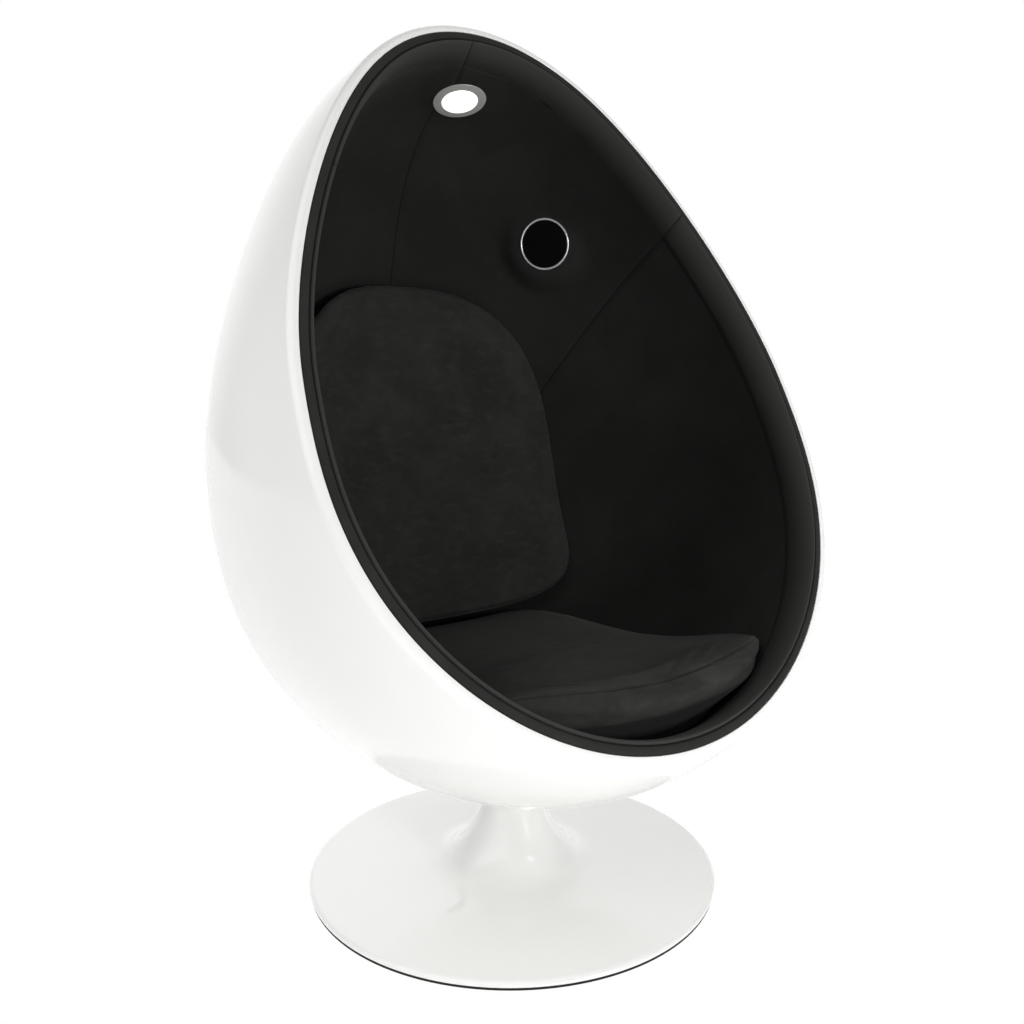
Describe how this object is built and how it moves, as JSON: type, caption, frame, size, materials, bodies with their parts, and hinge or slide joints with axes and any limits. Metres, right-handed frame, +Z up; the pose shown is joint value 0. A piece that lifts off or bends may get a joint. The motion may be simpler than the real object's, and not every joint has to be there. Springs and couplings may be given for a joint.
{
  "type": "pod chair",
  "caption": "Upholstered egg-shaped lounge pod with seat and back cushions, a crown light and side speakers, turning on a round trumpet foot.",
  "frame": {"origin": "on the floor under the middle of the foot, on the swivel's axis", "axes": "+Z up along the swivel's axis; the chair faces -Y; +X is the sitter's left"},
  "size_m": [0.9278, 0.824, 1.301],
  "materials": {
    "gel_coat_white": "high gloss",
    "glide_pad": "matt",
    "ballast_steel": "satin",
    "turned_steel": "satin",
    "plated_fasteners": "bright zinc plated",
    "bush_nylon": "smooth",
    "washer_bronze": "satin",
    "birch_ply": "sanded",
    "box_plastic": "fine texture",
    "padding_foam": "open-cell foam",
    "lining_cloth": "short-napped charcoal cloth",
    "rim_cloth": "smooth charcoal cloth",
    "piping_cloth": "covered cord",
    "cushion_suede": "charcoal suede cloth",
    "led_board": "white solder resist",
    "opal_diffuser": "opal",
    "light_ring_alloy": "satin anodised",
    "speaker_chrome": "polished",
    "grille_mesh": "matt black, fine mesh",
    "cone_paper": "doped paper",
    "basket_steel": "satin black",
    "magnet_ferrite": "matt"
  },
  "bodies": {
    "base": {"base_trumpet": "gel_coat_white", "base_glide": "glide_pad", "ballast_plate": "ballast_steel", "ballast_screws": "plated_fasteners", "post_tube": "turned_steel", "upper_bush": "bush_nylon", "lower_bush": "bush_nylon", "thrust_washer": "washer_bronze"},
    "pod": {"spindle": "turned_steel", "retaining_washer": "turned_steel", "retaining_screw": "plated_fasteners", "swivel_hub": "gel_coat_white", "flange_bolts": "plated_fasteners", "outer_shell": "gel_coat_white", "inner_wedge": "birch_ply", "mount_plate": "ballast_steel", "flange_nuts": "plated_fasteners", "seat_pillars": "ballast_steel", "seat_board": "birch_ply", "board_screws": "plated_fasteners", "control_box": "box_plastic", "power_inlet": "box_plastic", "foam_back_left": "padding_foam", "foam_back_right": "padding_foam", "foam_side_left": "padding_foam", "foam_side_right": "padding_foam", "lining_back_left": "lining_cloth", "lining_back_right": "lining_cloth", "lining_side_left": "lining_cloth", "lining_side_right": "lining_cloth", "rim_band": "rim_cloth", "rim_piping": "piping_cloth", "rim_roll": "rim_cloth", "seat_cushion": "cushion_suede", "back_cushion": "cushion_suede", "light_can": "box_plastic", "light_board": "led_board", "light_diffuser": "opal_diffuser", "light_ring": "light_ring_alloy", "speaker_left_ring": "speaker_chrome", "speaker_left_grille": "grille_mesh", "speaker_left_cone": "cone_paper", "speaker_left_basket": "basket_steel", "speaker_left_magnet": "magnet_ferrite", "speaker_right_ring": "speaker_chrome", "speaker_right_grille": "grille_mesh", "speaker_right_cone": "cone_paper", "speaker_right_basket": "basket_steel", "speaker_right_magnet": "magnet_ferrite"}
  },
  "joints": [
    {"name": "pod_swivel", "type": "hinge", "parent": "base", "child": "pod", "pos_m": [0, 0, 0.13], "axis": [0, 0, 1], "continuous": true}
  ]
}
